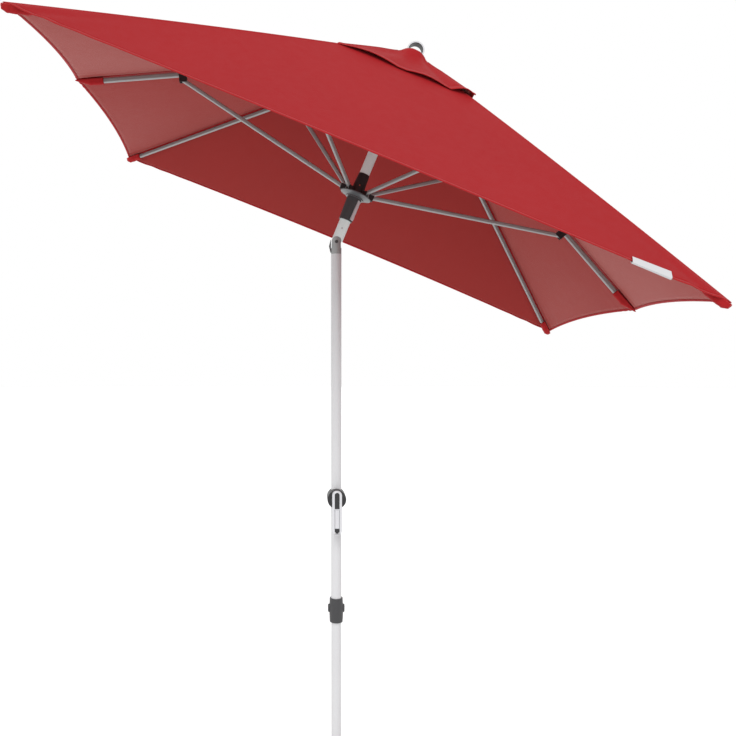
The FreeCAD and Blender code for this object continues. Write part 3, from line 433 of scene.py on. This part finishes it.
def edge_band(name, point_at, r, step, width, columns):
    """A folded hem: a closed ring of doubled cloth round an edge of a sheet."""
    lift = HEM_LIFT
    section = [(width, 0.0002), (width * 0.97, lift), (width * 0.5, lift * 1.1),
               (0.003, lift * 1.3), (0.0, lift), (-0.0012, 0.0), (0.0, -lift),
               (0.003, -lift * 1.3), (width * 0.97, -lift), (width, -0.0002)]
    rings, run, last = [], 0.0, None
    for gore in GORES:
        for t in columns[:-1]:
            here, inwards, normal = frame_at(point_at, gore, r, t, step)
            if t == 0:          # share the rib's corner evenly between its two panels
                before = GORES[GORES.index(gore) - 1]
                _, other_in, other_normal = frame_at(point_at, before, r, 1.0, step)
                inwards = (inwards + other_in).normalized()
                normal = (normal + other_normal).normalized()
            run += (here - last).length if last is not None else 0.0
            last = here
            rings.append((here, inwards, normal, run))
    points, uvs = [], []
    for here, inwards, normal, run in rings:
        for inset, height in section:
            points.append(here + inwards * inset + normal * height)
            uvs.append((run, inset - width * HEM_ROW))
    faces, size = [], len(section)
    for i in range(len(rings)):
        following = (i + 1) % len(rings)
        for j in range(size):
            across = (j + 1) % size
            faces.append((i * size + j, i * size + across,
                          following * size + across, following * size + j))
    thing = make_piece(name, points, faces, "hem_cloth", uvs)
    tidy_mesh(thing)
    return thing


def rib_seam(name, point_at, index, rows, width):
    """A felled seam: a low ridge of doubled cloth along one rib line."""
    gore_after, gore_before = GORES[index], GORES[index - 1]
    up = Vector((0, 0, 1))
    points, uvs = [], []
    run, last = 0.0, None
    for r in rows:
        middle = point_at(gore_after, r, 0.0)
        right = (point_at(gore_after, r, 0.012) - middle).normalized()
        left = (point_at(gore_before, r, 0.988) - middle).normalized()
        run += (middle - last).length if last is not None else 0.0
        last = middle
        for onwards, reach, height in SEAM_SECTION:
            direction = right if onwards else left
            points.append(middle + direction * reach * width + up * height)
            uvs.append((run, (SEAM_ROW - reach) * width))
    thing = make_piece(name, points, ring_faces(len(rows) - 1, len(SEAM_SECTION)),
                       "hem_cloth", uvs)
    tidy_mesh(thing)
    return thing


# ------------------------------------------------------------------ vent cap

def cap_rim(name):
    """Plan position of the cap's hem at a rib."""
    rim = RIM[name]
    if name in ("left", "right"):
        return Vector((math.copysign(CAP_MID, rim.x), 0, 0))
    return Vector((math.copysign(CAP_HALF_LENGTH, rim.x),
                   math.copysign(CAP_HALF_WIDTH, rim.y), 0))


def canopy_height(x, y):
    """Height of the flat panels over a point of the plan."""
    long_slope = (APEX.z - CORNER_UP) / HALF_WIDTH
    end_slope = (APEX.z - MID_UP) / MID_REACH
    corner_rise = (APEX.z - CORNER_UP - end_slope * HALF_LENGTH) / HALF_WIDTH
    return APEX.z - max(long_slope * abs(y), end_slope * abs(x) + corner_rise * abs(y))


def cap_lift(gore, t):
    """How far the cap's hem stands off the canopy, as lobes between its tied points."""
    start, stop = (cap_rim(name) for name in gore)
    to_corner = (start.lerp(stop, t) - cap_rim("front_right")).length
    lift = CURL_RISE * math.exp(-(to_corner / CURL_SPREAD) ** 2)
    for low, high, height in LOBES.get(gore, END_LOBES):
        if low < t < high:
            lift += height * math.sin(math.pi * (t - low) / (high - low)) ** 1.3
    return lift


def cap_point(gore, r, t):
    """A point of the cap's cloth: r from its top (0) to its hem (1)."""
    start, stop = (cap_rim(name) for name in gore)
    plan = start.lerp(stop, t) * r
    across = (stop - start).normalized()
    inward = Vector((0, 0, 1)).cross(across)
    plan += inward * CAP_SAG * 4 * t * (1 - t) * r ** 3
    radius = plan.length
    under = canopy_height(plan.x, plan.y)
    gap = CAP_GAP * min(1.0, radius / CAP_GAP_RADIUS)
    drape = under + gap + cap_lift(gore, t) * r ** 2.2
    if radius < DOME_RADIUS:
        height = DOME_TOP - DOME_FALL * (radius / DOME_RADIUS) ** 3
    else:
        direction = plan.normalized() * DOME_RADIUS
        edge_under = canopy_height(direction.x, direction.y)
        spare = DOME_TOP - DOME_FALL - edge_under
        height = drape + (spare - gap) * math.exp(-(radius - DOME_RADIUS) / DOME_DRAPE)
    halfway = math.exp(-((r - 0.55) / 0.28) ** 2)
    fold = CAP_FOLD * math.sin(2 * math.pi * (3 * t + 0.15)) * halfway
    return Vector((plan.x, plan.y, height + fold))


# ------------------------------------------------------------------ pockets and label

def rib_frame(name):
    """Rim point, direction back along the rib, sideways and up, for a rib's tip."""
    rim = RIM[name]
    back = (APEX - rim).normalized()
    side = Vector((0, 0, 1)).cross(back).normalized()
    up = back.cross(side)
    if up.z < 0:
        side, up = -side, -up
    return rim, back, side, up


def tip_pocket(name):
    """The bag of cloth sewn under the hem that holds a rib's end."""
    rim, back, side, up = rib_frame(name)
    length, mouth, growth = MID_POCKET if name in ("left", "right") else CORNER_POCKET
    shares = [0.0, 0.008, 0.02] + [0.05 * k for k in range(1, 20)] + [0.985, 1.0]
    points = []
    for share in shares:
        reach = -POCKET_PAST_RIM + share * (length + POCKET_PAST_RIM)
        opening = min(1.0, mouth + growth * share)
        ruffle = 0.0005 * math.sin(share * 17.0) + 0.0003 * math.sin(share * 37.0 + 1.0)
        wide = (POCKET_HALF + ruffle) * opening
        deep = (POCKET_DEPTH + ruffle) * opening
        skirt = POCKET_SKIRT * opening + 0.0006 * math.sin(share * 23.0 + 2.0)
        top = -0.0005 - skirt * 0.30
        outline = [(-skirt, top), (-wide * 1.25, min(top, -0.32 * deep)),
                   (-wide, -deep * 0.55), (-wide * 0.85, -deep * 0.92), (0.0, -deep * 1.03),
                   (wide * 0.85, -deep * 0.92), (wide, -deep * 0.55),
                   (wide * 1.25, min(top, -0.32 * deep)), (skirt, top), (0.0, 0.0004)]
        for across, rise in outline:
            points.append(rim + back * reach + side * across + up * rise)
    faces = ring_faces(len(shares) - 1, len(outline))
    unstitched = [(0.0, 1.0)] * len(points)
    thing = make_piece("tip_pocket_" + name, points, faces, "hem_cloth", unstitched)
    tidy_mesh(thing)
    smooth = thing.modifiers.new("soft_cloth", "SUBSURF")
    smooth.levels = smooth.render_levels = 1
    return thing


def hem_label():
    """A blank white tape folded over the front hem near its right corner."""
    steps = 8
    left, right = (canopy_point(FRONT, 1.0, t)
                   for t in (LABEL_MIDDLE - LABEL_HALF, LABEL_MIDDLE + LABEL_HALF))
    _, inwards, normal = frame_at(canopy_point, FRONT, 1.0, LABEL_MIDDLE, 0.02)
    along = (right - left).normalized()
    inwards = (inwards - along * inwards.dot(along)).normalized()
    normal = along.cross(inwards) * (1 if along.cross(inwards).dot(normal) > 0 else -1)
    points = []
    for k in range(steps + 1):
        share = k / steps
        top = LABEL_TOP + LABEL_TOP_SKEW * share        # the tape is sewn on a little askew
        fold = LABEL_FOLD + LABEL_FOLD_SKEW * share
        inside = fold - LABEL_TAPE - 0.0001
        over, under = LABEL_LIFT, 0.0002 - LABEL_LIFT
        section = [(top, over + 0.0002), (-fold * 0.5, over), (-fold, 0.0020), (-fold, -0.0020),
                   (-fold * 0.5, under), (LABEL_BACK, under), (LABEL_BACK, under + LABEL_TAPE),
                   (-fold * 0.5, under + LABEL_TAPE), (-inside, -0.0016), (-inside, 0.0016),
                   (-fold * 0.5, over - LABEL_TAPE), (top, over + 0.0002 - LABEL_TAPE)]
        for inset, height in section:
            points.append(left.lerp(right, share) + inwards * inset + normal * height)
    faces = ring_faces(steps, len(section))
    thing = make_piece("blank_hem_label", points, faces, "label_tape", smooth=False)
    tidy_mesh(thing)
    return thing


# ------------------------------------------------------------------ build the cloth


def build_canopy():
    """The main cloth with its hems, seams and pockets, in place of the CAD panels."""
    columns = spread(40)
    canopy = sheet_mesh("canopy_sheet", canopy_point, even(VENT, 1, 44), columns)
    ride_head(canopy)
    extras = [edge_band("canopy_hem", canopy_point, 1.0, 0.02, HEM_WIDTH, columns)]
    vent_edge = edge_band("vent_hem", lambda gore, r, t: canopy_point(gore, 2 * VENT - r, t),
                          VENT, 0.01, NARROW_HEM, spread(10))
    extras.append(vent_edge)
    seam_rows = even(VENT + 0.004, 0.996, 60)
    for index, name in enumerate(RIBS):
        extras.append(rib_seam("rib_seam_" + name, canopy_point, index, seam_rows, SEAM_WIDTH))
        extras.append(tip_pocket(name))
    for extra in extras:
        ride_head(extra)
    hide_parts("canopy_fabric")


def build_cap():
    """The small upper cloth over the vent, in place of the CAD cap."""
    columns = spread(26)
    cap = sheet_mesh("vent_cap_sheet", cap_point, even(0.02, 1, 40), columns)
    ride_head(cap)
    extras = [edge_band("cap_hem", cap_point, 1.0, 0.03, NARROW_HEM, columns)]
    seam_rows = even(0.24, 0.98, 30)
    for index, name in enumerate(RIBS):
        extras.append(rib_seam("cap_seam_" + name, cap_point, index, seam_rows,
                               CAP_SEAM_WIDTH))
    for extra in extras:
        ride_head(extra)
    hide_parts("vent_cap")


def build_label():
    """The folded tape, in place of the CAD one."""
    label = ride_head(hem_label())
    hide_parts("hem_label")


# ------------------------------------------------------------------ camera, light, floor

def make_camera():
    """Level view from the front, a little left of the pole and below the tilt joint."""
    data = bpy.data.cameras.new("view")
    data.lens, data.sensor_width = 35.0, 36.0
    data.shift_x, data.shift_y = VIEW_SHIFT
    data.clip_end = 200.0
    camera = bpy.data.objects.new("view", data)
    camera.location = VIEW_PLACE
    camera.rotation_euler = (math.radians(90), 0, 0)
    bpy.context.scene.collection.objects.link(camera)
    bpy.context.scene.camera = camera


def make_light():
    """White surroundings and one broad sun from the front left."""
    world = bpy.data.worlds.new("studio")
    world.use_nodes = True
    background = world.node_tree.nodes["Background"]
    background.inputs["Color"].default_value = (1, 1, 1, 1)
    background.inputs["Strength"].default_value = 1.0
    bpy.context.scene.world = world
    data = bpy.data.lights.new("key", "SUN")
    data.energy, data.angle = 2.0, math.radians(35)
    key = bpy.data.objects.new("key", data)
    key.rotation_euler = (math.radians(42), math.radians(-14), 0)
    bpy.context.scene.collection.objects.link(key)
    bpy.context.scene.view_settings.view_transform = "Standard"


def make_floor():
    """Pale ground that fades into the white surroundings."""
    turns = [2 * math.pi * k / FLOOR_SIDES for k in range(FLOOR_SIDES)]
    points = [(FLOOR_RADIUS * math.cos(turn), FLOOR_RADIUS * math.sin(turn), FLOOR_HEIGHT)
              for turn in turns]
    mesh = bpy.data.meshes.new("floor")
    mesh.from_pydata(points, [], [tuple(range(FLOOR_SIDES))])
    shader = Shader("pale_floor", (0.80, 0.80, 0.80), 0.9, Emission_Color=(1, 1, 1, 1),
                    Emission_Strength=0.14)
    shader.use_colour(shader.tint(shader.noise(1.5), 0.985, 1.015))
    mesh.materials.append(shader.material)
    floor = bpy.data.objects.new("floor", mesh)
    bpy.context.scene.collection.objects.link(floor)


make_camera()
make_light()
make_floor()
dress_frame()
build_canopy()
build_cap()
build_label()
